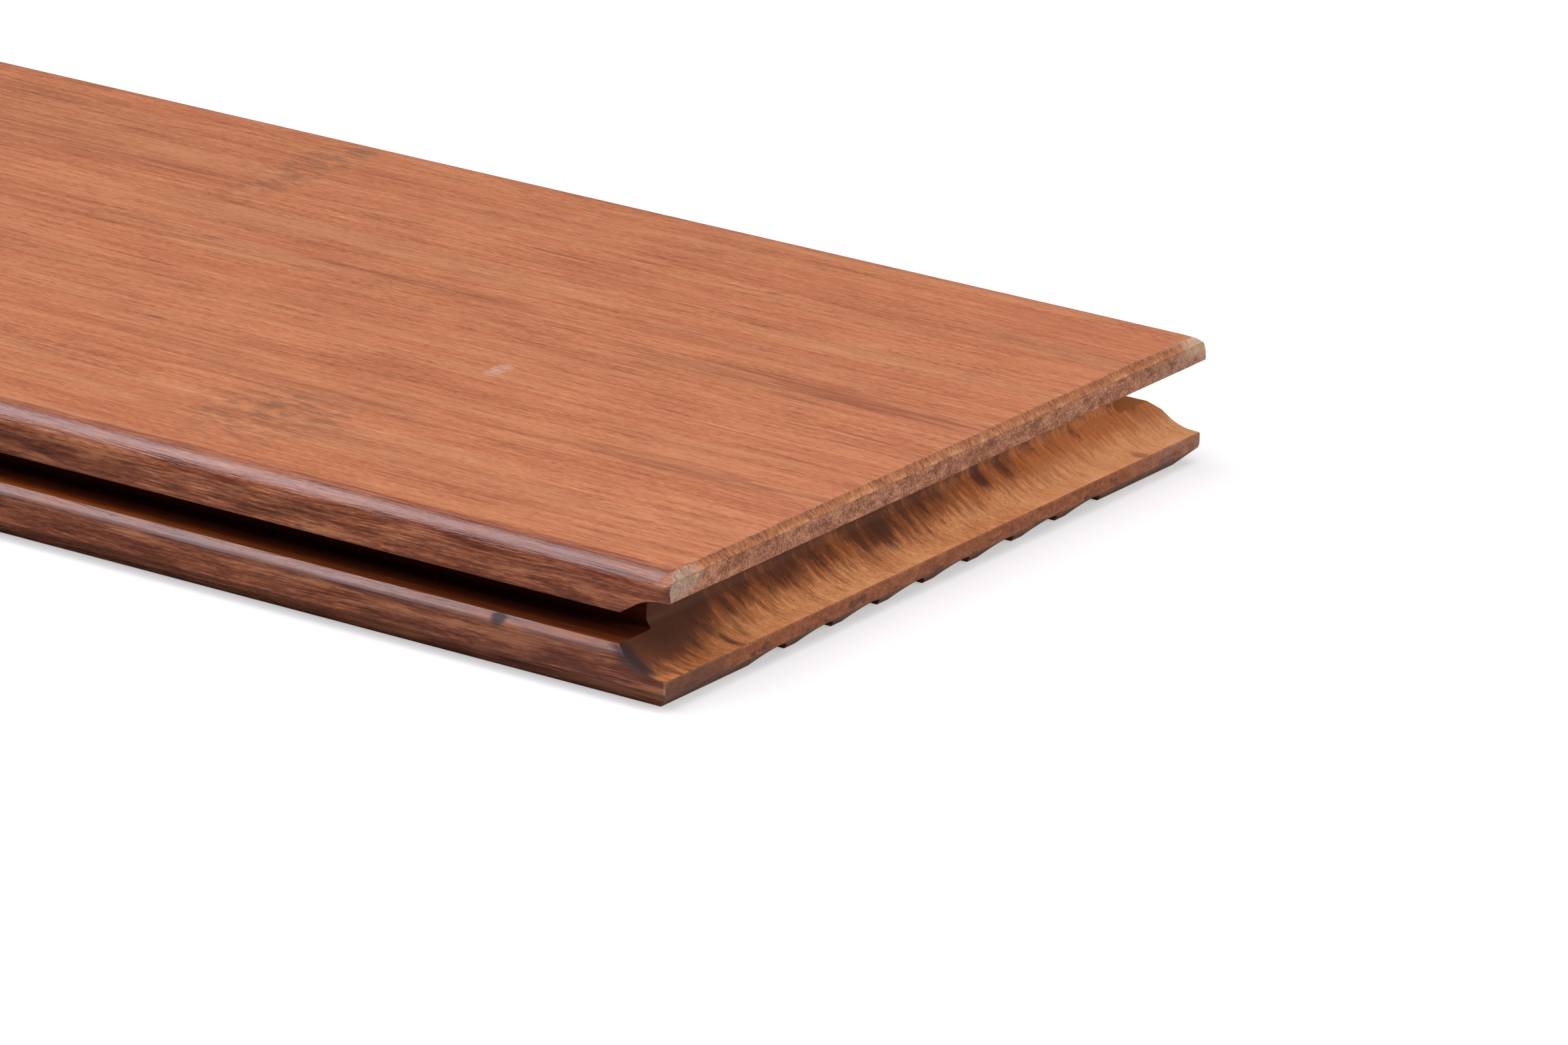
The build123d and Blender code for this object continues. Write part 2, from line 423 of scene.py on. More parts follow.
class Finish:
    """A material under construction: each call adds shader nodes and gives back their output socket."""

    def __init__(self, name):
        self.material = bpy.data.materials.new(name)
        self.material.use_nodes = True
        self.nodes = self.material.node_tree.nodes
        self.links = self.material.node_tree.links
        self.shader = self.nodes["Principled BSDF"]
        metres = self.nodes.new("ShaderNodeTexCoord").outputs["Object"]
        self.place = self.vector("SCALE", metres, scale=1 / MM)

    def feed(self, socket, value):
        """Links a socket, or sets a plain number, colour or vector on it."""
        if isinstance(value, bpy.types.NodeSocket):
            self.links.new(value, socket)
        else:
            socket.default_value = value

    def math(self, operation, *values):
        node = self.nodes.new("ShaderNodeMath")
        node.operation = operation
        for socket, value in zip(node.inputs, values):
            self.feed(socket, value)
        return node.outputs[0]

    def vector(self, operation, *values, scale=None, out="Vector"):
        node = self.nodes.new("ShaderNodeVectorMath")
        node.operation = operation
        for socket, value in zip(node.inputs, values):
            self.feed(socket, value)
        if scale is not None:
            node.inputs["Scale"].default_value = scale
        return node.outputs[out]

    def noise(self, place, size, detail=2.0, roughness=0.5, shift=0.0, out="Fac"):
        """Soft noise from 0 to 1, in patches of the given size in millimetres along, across and up."""
        node = self.nodes.new("ShaderNodeTexNoise")
        share = tuple(1 / s for s in size)
        moved = (shift, 1.7 * shift, 0.6 * shift)
        self.feed(node.inputs["Vector"], self.vector("MULTIPLY_ADD", place, share, moved))
        node.inputs["Scale"].default_value = 1.0
        node.inputs["Detail"].default_value = detail
        node.inputs["Roughness"].default_value = roughness
        return node.outputs[out]

    def times(self, first, *others):
        """Product of values."""
        result = first
        for value in others:
            result = self.math("MULTIPLY", result, value)
        return result

    def plus(self, base, value, weight):
        """A base with a weighted value added."""
        return self.math("MULTIPLY_ADD", value, weight, base)

    def spread(self, value, low, high, to_low=0.0, to_high=1.0):
        """Eased step of a value from low to high."""
        node = self.nodes.new("ShaderNodeMapRange")
        node.interpolation_type = "SMOOTHSTEP"
        for socket, number in zip(node.inputs, (value, low, high, to_low, to_high)):
            self.feed(socket, number)
        return node.outputs[0]

    def blend(self, share, first, second, kind="MIX"):
        """Mixes two colours; a colour is a socket or red, green and blue."""
        node = self.nodes.new("ShaderNodeMix")
        node.data_type = "RGBA"
        node.blend_type = kind
        self.feed(node.inputs[0], share)
        for socket, colour in ((node.inputs[6], first), (node.inputs[7], second)):
            self.feed(socket, colour if isinstance(colour, bpy.types.NodeSocket) else (*colour, 1.0))
        return node.outputs[2]

    def ramp(self, value, stops):
        """Colour by value, blended between stops (value, colour)."""
        node = self.nodes.new("ShaderNodeValToRGB")
        self.feed(node.inputs[0], value)
        elements = node.color_ramp.elements
        while len(elements) < len(stops):
            elements.new(1.0)
        for element, (position, colour) in zip(elements, stops):
            element.position = position
            element.color = (*colour, 1.0)
        return node.outputs[0]

    def total(self, *terms):
        """Sum of values, each with its weight, about a middle of one half: 0.5 + w1 (v1 - 0.5) + ..."""
        weight = sum(w for _, w in terms)
        result = 0.5 - 0.5 * weight
        for value, w in terms:
            result = self.plus(result, value, w)
        return result

    def parts(self, vector):
        node = self.nodes.new("ShaderNodeSeparateXYZ")
        self.feed(node.inputs[0], vector)
        return node.outputs[0], node.outputs[1], node.outputs[2]

    def normal(self):
        return self.nodes.new("ShaderNodeNewGeometry").outputs["Normal"]

    def spot(self, centre, reach, warp):
        """Soft patch: 1 inside an ellipsoid of the given half sizes, 0 outside; warp moves its border."""
        off = self.vector("SUBTRACT", self.place, centre)
        off = self.vector("MULTIPLY", off, tuple(1 / r for r in reach))
        far = self.math("ADD", self.vector("LENGTH", off, out="Value"), warp)
        return self.spread(far, 1.3, 0.5)

    def mixed(self, share, first, second):
        """Mixes two shaders."""
        node = self.nodes.new("ShaderNodeMixShader")
        for socket, value in zip(node.inputs, (share, first, second)):
            self.feed(socket, value)
        return node.outputs[0]

    def finish(self, colour, roughness, height, depth):
        """Puts colour, roughness and a bump of the given depth in millimetres on the shader."""
        bump = self.nodes.new("ShaderNodeBump")
        bump.inputs["Strength"].default_value = 1.0
        bump.inputs["Distance"].default_value = depth * MM
        self.feed(bump.inputs["Height"], height)
        self.feed(self.shader.inputs["Base Color"], colour)
        self.feed(self.shader.inputs["Roughness"], roughness)
        self.feed(self.shader.inputs["Normal"], bump.outputs["Normal"])
        return self.material


# Marks on the walking face in millimetres: centre along and across, half length, half width, and strength
DARK_BANDS = (
    (905.0, -31.0, 30.0, 2.6, 0.55),
    (898.0, 9.5, 34.0, 4.2, 0.60),
    (842.0, -36.5, 24.0, 3.0, 0.45),
    (828.0, 15.5, 26.0, 2.2, 0.40),
    (752.0, 40.0, 26.0, 3.0, 0.40),
    (706.0, 46.0, 46.0, 22.0, 0.24),
)
NODES = ((776.0, 49.5, 5.0, 21.0, 0.75), (843.0, -49.5, 11.0, 14.0, 0.70))
NODE_DASHES = (
    (776.2, 53.1, 3.0, 0.7, 0.50),
    (776.0, 41.0, 2.6, 0.8, 0.30),
    (775.6, 46.0, 2.4, 0.9, 0.28),
    (777.0, 58.4, 2.6, 1.0, 0.28),
    (776.9, 65.0, 3.4, 1.3, 0.45),
    (843.8, -39.8, 4.0, 0.8, 0.36),
    (849.5, -43.8, 4.0, 0.9, 0.28),
)
FLECKS = (
    (786.0, 13.7, 2.2, 0.5, 0.50),
    (768.6, -7.4, 1.6, 0.45, 0.45),
    (803.5, -23.0, 2.0, 0.5, 0.50),
    (865.6, 45.1, 1.4, 0.4, 0.50),
)
SCUFFS = ((855.8, -11.3, 1.5, 3.0, 0.42),)

# Scorch marks in the end groove: centre, half sizes and strength
SCORCHES = (
    ((916.0, 22.2, 8.3), (2.4, 1.4, 2.0), 0.85),
    ((917.3, -52.9, 7.4), (1.9, 0.9, 1.2), 0.75),
    ((919.3, -51.7, 6.2), (1.9, 0.8, 1.2), 0.75),
    ((921.6, -50.8, 5.1), (1.9, 0.8, 1.0), 0.75),
    ((923.8, -50.7, 4.9), (1.6, 0.7, 1.0), 0.60),
    ((915.8, -49.5, 8.4), (2.0, 3.6, 1.6), 0.65),
    ((917.6, -44.6, 7.2), (1.8, 1.8, 1.5), 0.45),
    ((918.0, -60.3, 6.9), (1.6, 1.4, 1.6), 0.50),
    ((916.4, -5.0, 8.0), (2.0, 2.6, 1.8), 0.50),
    ((916.2, -27.7, 8.2), (2.0, 2.0, 1.8), 0.50),
    ((923.6, 55.0, 4.9), (1.4, 1.2, 1.2), 0.50),
)

# Dark spot on the lower lip: centre and half sizes
LIP_STAIN_CENTRE = (896.8, -69.4, 7.6)
LIP_STAIN_REACH = (1.3, 1.5, 1.1)

# Tones of each finish from dark to pale: a value and its linear red, green and blue
TOP_TONES = (
    (0.14, (0.24, 0.073, 0.032)),
    (0.37, (0.395, 0.125, 0.051)),
    (0.50, (0.485, 0.168, 0.069)),
    (0.65, (0.550, 0.203, 0.087)),
    (0.88, (0.640, 0.275, 0.132)),
)
SIDE_TONES = (
    (0.12, (0.090, 0.022, 0.009)),
    (0.40, (0.200, 0.051, 0.018)),
    (0.58, (0.300, 0.087, 0.031)),
    (0.88, (0.510, 0.192, 0.074)),
)
TORN_TONES = (
    (0.22, (0.095, 0.028, 0.011)),
    (0.42, (0.25, 0.083, 0.030)),
    (0.60, (0.37, 0.138, 0.052)),
    (0.85, (0.55, 0.250, 0.100)),
)
GROOVE_TONES = ((0.25, (0.20, 0.040, 0.006)), (0.75, (0.46, 0.115, 0.020)))
RAW_TONES = (
    (0.18, (0.40, 0.150, 0.052)),
    (0.42, (0.61, 0.250, 0.092)),
    (0.58, (0.75, 0.350, 0.145)),
    (0.82, (0.86, 0.485, 0.235)),
)
SEALED_TONES = (
    (0.18, (0.18, 0.064, 0.031)),
    (0.45, (0.31, 0.122, 0.062)),
    (0.62, (0.39, 0.160, 0.084)),
    (0.85, (0.52, 0.245, 0.140)),
)
GREY_CRUMBS = ((0.25, (0.23, 0.140, 0.090)), (0.5, (0.35, 0.230, 0.158)), (0.75, (0.50, 0.36, 0.27)))
BEIGE_CRUMBS = ((0.25, (0.32, 0.185, 0.105)), (0.5, (0.47, 0.305, 0.185)), (0.75, (0.60, 0.43, 0.28)))

# Colours of the walking face
TAN = (0.530, 0.236, 0.108)
RED_BROWN = (0.445, 0.128, 0.054)
HAIR_BROWN = (0.19, 0.070, 0.035)
BAND_BROWN = (0.27, 0.082, 0.036)
NODE_BROWN = (0.20, 0.092, 0.050)
NODE_PALE = (0.62, 0.28, 0.15)
FLECK_BROWN = (0.15, 0.06, 0.034)
SCUFF_PALE = (0.66, 0.50, 0.44)

# Colours of the sides and of the edges of the grooved end; a shade multiplies what is below it
LIP_BROWN = (0.085, 0.020, 0.009)
ROUND_BROWN = (0.15, 0.034, 0.018)
OIL_BROWN = (0.080, 0.019, 0.008)
LIP_GOLD = (0.40, 0.135, 0.046)
INLAND_SHADE = (0.70, 0.62, 0.56)
WORN_SHADE = (0.82, 0.68, 0.60)
EDGE_BROWN = (0.19, 0.042, 0.030)
STAIN_BLACK = (0.030, 0.024, 0.026)
SINGED_BROWN = (0.045, 0.014, 0.012)
CORNER_BROWN = (0.085, 0.024, 0.016)
CORNER_PALE = (0.60, 0.40, 0.28)
TORN_PALE = (0.64, 0.38, 0.18)
TORN_WORN = (0.46, 0.28, 0.175)

# Colours of the clip grooves: painted light on the far groove by the end, and painted shade inside
GROOVE_PAINTED_LIGHT = (0.58, 0.27, 0.11)
GROOVE_PAINTED_SHADE = (0.050, 0.011, 0.007)

# Colours of the raw end groove
RAW_PALE = (0.86, 0.45, 0.215)
UNDER_LIP_PAINTED_SHADE = (0.95, 0.70, 0.48)
NEAR_SHADE = (0.78, 0.64, 0.46)
RIM_SHADE = (0.74, 0.58, 0.42)
BRUSH_BROWN = (0.22, 0.066, 0.019)
SMOKE_BROWN = (0.12, 0.035, 0.011)
SCORCH_AND_SHADE_BROWN = (0.100, 0.027, 0.008)
RIM_BLACK = (0.022, 0.008, 0.007)
SCORCH_BROWN = (0.085, 0.025, 0.009)

# Colours of the sealed end grain
LOWER_LIP_RED = (0.25, 0.066, 0.018)
LOWER_LIP_DULL = (0.092, 0.048, 0.028)
FOOT_STAIN = (0.070, 0.034, 0.030)
FOOT_PAINTED_REFLECTION = (0.50, 0.30, 0.23)
CRUMB_PALE = (0.74, 0.56, 0.33)
END_BLOOM = (0.36, 0.22, 0.165)


def grain_place(f):
    """The grain's own place: the object's place, with the fibres wandering sideways by a little."""
    slow = f.vector("SUBTRACT", f.noise(f.place, (150, 22, 22), 1, out="Color"), (0.5, 0.5, 0.5))
    quick = f.vector("SUBTRACT", f.noise(f.place, (28, 6, 6), 1, shift=7.3, out="Color"), (0.5, 0.5, 0.5))
    wandered = f.vector("MULTIPLY_ADD", slow, (0, 7, 7), f.place)
    return f.vector("MULTIPLY_ADD", quick, (0, 1.6, 1.6), wandered)


def bamboo_grain(f):
    """Noises drawn out along the fibres, from broad strands to pores, and the place they are read at."""
    place = grain_place(f)
    return SimpleNamespace(
        place=place,
        strand=f.noise(place, (120, 5, 5), 2, 0.5),
        streak=f.noise(place, (30, 0.9, 0.9), 2, 0.6, shift=3.3),
        fibre=f.noise(place, (9, 0.28, 0.28), 2, 0.6, shift=5.9),
        pore=f.noise(place, (1.3, 0.21, 0.21), 1, 0.5, shift=8.2),
        blotch=f.noise(place, (22, 12, 12), 2, 0.5, shift=9.1),
        short=f.noise(place, (7.0, 0.30, 0.30), 3, 0.65, shift=31.0),
        mottle=f.noise(place, (16, 2.0, 2.0), 3, 0.6, shift=34.0),
    )


def oiled_zones(f):
    """Shares of the oiled faces by place and slope: sides, lower lip, worn end, oily line on the lip."""
    x, y, z = f.parts(f.place)
    from_end = f.math("SUBTRACT", HALF_LENGTH, x)
    up = f.parts(f.normal())[2]
    return SimpleNamespace(
        x=x,
        y=y,
        z=z,
        from_end=from_end,
        up=up,
        side=f.spread(f.plus(up, f.spread(y, -20.0, 20.0), 0.07), 0.998, 0.955),
        low_lip=f.spread(z, 8.6, 7.6),
        worn_end=f.spread(from_end, 65.0, 5.0),
        oil_line=f.times(f.spread(z, 7.40, 7.10), f.spread(z, 6.40, 6.80)),
    )


def sanded_top(f, grain):
    """Colour of the walking face: soft bands and streaks, tan and red drifts, thin dark fibres in patches."""
    terms = (
        (grain.strand, 0.30),
        (grain.streak, 0.55),
        (grain.fibre, 0.85),
        (grain.pore, 0.75),
        (grain.blotch, 0.25),
    )
    colour = f.ramp(f.total(*terms), TOP_TONES)
    hue = f.noise(grain.place, (55, 2.8, 2.8), 2, 0.55, shift=18.0)
    colour = f.blend(f.spread(hue, 0.50, 0.68, 0.0, 0.38), colour, TAN)
    colour = f.blend(f.spread(hue, 0.48, 0.32, 0.0, 0.34), colour, RED_BROWN)
    hair = f.spread(f.noise(grain.place, (6.0, 0.25, 0.25), 1, 0.5, shift=12.7), 0.58, 0.70)
    gathered = f.spread(f.noise(grain.place, (32, 7, 7), 2, 0.5, shift=15.1), 0.40, 0.66)
    return f.blend(f.times(hair, gathered, 0.45), colour, HAIR_BROWN)


def lay_marks(f, colour, marks, depth, warp, tint, drawn=1.0):
    """Blends a tint into the patch of each mark on the walking face, drawn through a share."""
    for along, across, half_length, half_width, strength in marks:
        mark = f.spot((along, across, THICKNESS), (half_length, half_width, depth), warp)
        colour = f.blend(f.times(mark, drawn, strength), colour, tint)
    return colour


def walking_marks(f, grain, colour):
    """Marks of the walking face: dark bands, mottled bamboo nodes with dashes, flecks and a pale scuff."""
    wobble = f.plus(-0.8, f.noise(grain.place, (20, 2.2, 2.2), 3, 0.6, shift=21.0), 1.6)
    faint = f.times(wobble, 0.6)
    banded = f.spread(f.total((grain.streak, 0.8), (grain.fibre, 0.6)), 0.66, 0.34, 0.25, 1.25)
    dash = f.noise(grain.place, (3.4, 1.0, 1.0), 3, 0.6, shift=27.0)
    colour = lay_marks(f, colour, DARK_BANDS, 2.5, wobble, BAND_BROWN, banded)
    colour = lay_marks(f, colour, NODES, 2.5, faint, NODE_BROWN, f.spread(dash, 0.42, 0.68))
    colour = lay_marks(f, colour, NODES, 2.5, faint, NODE_PALE, f.spread(dash, 0.42, 0.30, 0.0, 0.35))
    colour = lay_marks(f, colour, NODE_DASHES, 2.5, faint, NODE_BROWN)
    colour = lay_marks(f, colour, FLECKS, 2.0, faint, FLECK_BROWN)
    return lay_marks(f, colour, SCUFFS, 2.0, faint, SCUFF_PALE, f.spread(grain.pore, 0.25, 0.60))


def oiled_side(f, grain, zone):
    """Colour of the sides: short fibres and mottle, dark on the rounds, golden in places on the lower lip."""
    terms = (
        (grain.streak, 0.6),
        (grain.short, 1.3),
        (grain.fibre, 0.6),
        (grain.pore, 0.6),
        (grain.mottle, 1.2),
    )
    colour = f.ramp(f.total(*terms), SIDE_TONES)
    colour = f.blend(f.times(zone.low_lip, 0.14), colour, LIP_BROWN)
    colour = f.blend(f.spread(zone.up, 0.20, 0.45, 0.0, 0.45), colour, ROUND_BROWN)
    colour = f.blend(f.times(zone.oil_line, 0.55), colour, OIL_BROWN)
    upper_flat = f.times(f.spread(zone.up, 0.30, 0.05), f.spread(zone.z, 12.0, 13.0))
    inland = f.times(f.spread(zone.from_end, 77.0, 107.0), upper_flat)
    colour = f.blend(inland, colour, INLAND_SHADE, "MULTIPLY")
    colour = f.blend(f.times(zone.worn_end, 0.8), colour, WORN_SHADE, "MULTIPLY")
    golden = f.times(zone.worn_end, zone.low_lip, f.spread(grain.mottle, 0.46, 0.66), 0.60)
    return f.blend(golden, colour, LIP_GOLD)


def edge_marks(f, grain, zone, colour):
    """Lays marks along the edges; returns the colour and the share of them that has lost its shine.

    A thin dark line lies where the sanded top ends, and a stain on the lower lip. At the grooved end the
    lower lip is singed along the groove's profile, the upper corner is dark and the lower corner is pale.
    """
    along_edge = f.plus(f.math("SUBTRACT", zone.y, 0.45), grain.mottle, 0.9)
    line = f.times(f.spread(along_edge, -66.5, -66.9), f.spread(along_edge, -67.9, -67.4))
    line = f.times(line, f.spread(zone.z, 19.0, 19.6), f.spread(grain.short, 0.30, 0.58))
    colour = f.blend(f.times(line, 0.85), colour, EDGE_BROWN)
    stain = f.spot(LIP_STAIN_CENTRE, LIP_STAIN_REACH, f.plus(-0.4, grain.short, 0.8))
    colour = f.blend(f.times(stain, 0.85), colour, STAIN_BLACK)

    profile = HALF_LENGTH - JOINT_LAND + MOUTH_FLOOR / JOINT_SLOPE
    past = f.plus(f.math("SUBTRACT", zone.x, profile), zone.z, 1 / JOINT_SLOPE)
    past = f.plus(past, f.math("SUBTRACT", grain.mottle, 0.5), 2.0)
    singed = f.times(f.spread(past, -2.4, -0.6), f.spread(zone.z, 4.4, 5.8), zone.low_lip)
    colour = f.blend(f.times(singed, zone.side, 0.8), colour, SINGED_BROWN)

    corner = f.times(f.spread(zone.from_end, 1.7, 0.2), f.spread(f.math("ABSOLUTE", zone.y), 69.0, 69.7))
    dark_corner = f.times(corner, f.spread(zone.z, 15.4, 16.4), f.spread(grain.short, 0.30, 0.55))
    colour = f.blend(f.times(dark_corner, 0.8), colour, CORNER_BROWN)
    pale_corner = f.times(f.spread(zone.from_end, 0.8, 0.4), f.spread(zone.z, 5.4, 4.6))
    colour = f.blend(f.times(pale_corner, 0.25), colour, CORNER_PALE)
    return colour, f.math("MAXIMUM", singed, stain)


def torn_look(f, colour):
    """Lays torn fibre over the top end chamfer, with ragged borders; returns colour, share and height.

    The band's coordinate is 0 at the chamfer's upper edge and 1 at its lower edge, where the palest bits sit.
    """
    x, y, z = f.parts(f.place)
    upper_edge = (HALF_LENGTH - END_TOP_CHAMFER - THICKNESS) / 2
    band = f.plus(-upper_edge, f.math("SUBTRACT", x, z), 0.5)
    rough = f.noise(f.place, (1.2, 0.8, 0.9), 3, 0.65, shift=2.1)
    moved = f.plus(band, f.math("SUBTRACT", rough, 0.5), 0.8)
    share = f.times(f.spread(moved, -0.14, 0.06), f.spread(moved, 1.14, 0.94), f.spread(z, 17.6, 18.2))
    strand = f.noise(f.place, (3.0, 0.26, 0.7), 2, 0.6, shift=4.4)
    clump = f.noise(f.place, (2.5, 2.4, 2.0), 2, 0.5, shift=1.2)
    tone = f.total((strand, 1.0), (clump, 0.4), (f.spread(band, 0.0, 0.9), 0.10))
    fibre = f.ramp(tone, TORN_TONES)
    low_edge = f.times(f.spread(moved, 0.55, 0.85), f.spread(clump, 0.50, 0.62))
    fibre = f.blend(f.times(low_edge, 0.24), fibre, TORN_PALE)
    worn = f.times(f.spread(moved, 0.30, 0.02), f.spread(y, 48.0, 66.0))
    fibre = f.blend(f.times(worn, 0.45), fibre, TORN_WORN)
    return f.blend(share, colour, fibre), share, strand


def oiled_bamboo():
    """Strand-woven bamboo under a satin oil: sanded on top, darker on the rounded edges and sides."""
    f = Finish("oiled_bamboo")
    grain = bamboo_grain(f)
    zone = oiled_zones(f)
    colour = walking_marks(f, grain, sanded_top(f, grain))
    colour = f.blend(zone.side, colour, oiled_side(f, grain, zone))
    colour, dull = edge_marks(f, grain, zone, colour)
    colour, torn, torn_height = torn_look(f, colour)

    gloss = f.plus(0.24, grain.streak, 0.16)
    gloss = f.plus(gloss, zone.worn_end, 0.06)
    gloss = f.plus(gloss, zone.side, f.spread(grain.mottle, 0.36, 0.64, -0.15, 0.01))
    gloss = f.plus(gloss, f.times(zone.worn_end, zone.low_lip), 0.16)
    gloss = f.plus(gloss, zone.oil_line, 0.40)
    gloss = f.plus(gloss, dull, 0.40)
    roughness = f.plus(gloss, torn, 0.4)
    height = f.total((grain.fibre, 0.6), (grain.streak, 0.4), (grain.short, 0.3))
    height = f.times(height, f.plus(1.0, zone.side, 3.0))
    height = f.plus(height, f.times(torn, torn_height), 3.0)
    f.shader.inputs["Specular IOR Level"].default_value = 1.0
    return f.finish(colour, roughness, height, 0.03)


def oiled_groove():
    """Inside of the clip grooves: bamboo darkened by painted shade, nearly black at the back and out to the
    mouth on the near side by the grooved end.

    By the grooved end the far groove is pale with painted light.
    """
    f = Finish("oiled_groove")
    x, y = f.parts(f.place)[:2]
    from_end = f.math("SUBTRACT", HALF_LENGTH, x)
    fibre = f.noise(grain_place(f), (10, 0.5, 0.5), 2, 0.6, shift=5.9)
    far_side = f.spread(y, 0.0, 20.0)
    # Painted light on the far groove near the grooved end, where light comes in from the far side
    lit = f.times(far_side, f.spread(from_end, 30.0, 13.0))
    colour = f.blend(lit, f.ramp(fibre, GROOVE_TONES), GROOVE_PAINTED_LIGHT)
    # Painted shade: deep in the groove, and out to the mouth on the near side by the grooved end, less where
    # the painted light lies
    shade_by_end = f.times(f.spread(from_end, 125.0, 50.0), f.plus(0.78, far_side, -0.78))
    painted_shade = f.math("MAXIMUM", f.spread(f.math("ABSOLUTE", y), 69.2, 65.8), shade_by_end)
    painted_shade = f.times(painted_shade, f.plus(0.84, lit, -0.84))
    colour = f.blend(painted_shade, colour, GROOVE_PAINTED_SHADE)
    f.shader.inputs["Specular IOR Level"].default_value = 0.0
    return f.finish(colour, 0.6, fibre, 0.03)


def raw_bamboo():
    """Bare bamboo in the routed end groove: golden fibres running into the board, with scorched streaks.

    It is darkest at the back, where the upper lip's shade is painted in with the scorch, and along the near
    edge, and palest on the far side.
    """
    f = Finish("raw_bamboo")
    x, y = f.parts(f.place)[:2]
    depth = f.math("SUBTRACT", HALF_LENGTH, x)
    fibre = f.noise(f.place, (1.5, 0.27, 0.42), 3, 0.7, shift=1.7)
    fluff = f.noise(f.place, (0.6, 0.38, 0.38), 3, 0.7, shift=3.6)
    streak = f.noise(f.place, (6.0, 0.80, 1.2), 2, 0.6, shift=6.2)
    patch = f.noise(f.place, (8.0, 7.0, 7.0), 3, 0.6, shift=8.8)
    tone = f.total((fibre, 0.80), (fluff, 0.65), (streak, 0.40), (patch, 0.65))
    colour = f.ramp(tone, RAW_TONES)
    far = f.spread(y, 10.0, 45.0)
    colour = f.blend(f.times(far, 0.35), colour, RAW_PALE)
    # Painted shade deeper in the groove, under the upper lip
    colour = f.blend(f.spread(depth, 4.5, 8.5, 0.0, 0.9), colour, UNDER_LIP_PAINTED_SHADE, "MULTIPLY")
    near = f.spread(y, -32.0, -62.0)
    colour = f.blend(f.times(near, 0.9), colour, NEAR_SHADE, "MULTIPLY")

    # Brushed and smoky streaks along the fibres
    brush = f.noise(f.place, (6.0, 1.1, 5.0), 4, 0.7, shift=11.0)
    brush = f.plus(brush, f.math("SUBTRACT", depth, 5.0), 0.045)
    brush = f.spread(f.plus(brush, near, 0.08), 0.44, 0.66)
    colour = f.blend(f.times(brush, f.spread(y, 0.0, 50.0, 0.72, 0.40)), colour, BRUSH_BROWN)
    by_rim = f.spread(y, -46.0, -62.0)
    colour = f.blend(f.times(by_rim, 0.6), colour, RIM_SHADE, "MULTIPLY")
    smoke = f.noise(f.place, (7.0, 0.9, 5.0), 3, 0.65, shift=29.0)
    smoke = f.times(f.spread(smoke, 0.47, 0.60), by_rim)
    colour = f.blend(f.times(smoke, 0.78), colour, SMOKE_BROWN)

    # Scorch with painted shade at the back under the upper lip, charred near rim and single scorch marks
    scorch = f.total(
        (f.noise(f.place, (9.0, 1.7, 9.0), 3, 0.65, shift=14.0), 0.85),
        (f.noise(f.place, (8.0, 9.0, 8.0), 2, 0.5, shift=16.0), 0.60),
        (fibre, 0.60),
    )
    scorch_and_shade = f.plus(scorch, f.math("SUBTRACT", depth, 6.6), 0.075)
    scorch_and_shade = f.plus(scorch_and_shade, f.spread(y, -40.0, -66.0), 0.30)
    scorch_and_shade = f.plus(scorch_and_shade, far, -0.18)
    colour = f.blend(f.spread(scorch_and_shade, 0.44, 0.78, 0.0, 0.94), colour, SCORCH_AND_SHADE_BROWN)
    edge = f.plus(y, f.math("SUBTRACT", patch, 0.5), 3.0)
    rim = f.times(f.spread(edge, -66.6, -68.6), f.spread(depth, 1.0, 4.0))
    rim = f.times(rim, f.spread(fibre, 0.20, 0.50, 0.7, 0.97))
    colour = f.blend(rim, colour, RIM_BLACK)
    warp = f.math("SUBTRACT", fibre, 0.5)
    for centre, half_sizes, strength in SCORCHES:
        mark = f.spot(centre, half_sizes, warp)
        colour = f.blend(f.times(mark, strength), colour, SCORCH_BROWN)
    height = f.total((fibre, 1.0), (streak, 0.5))
    return f.finish(colour, 0.72, height, 0.05)


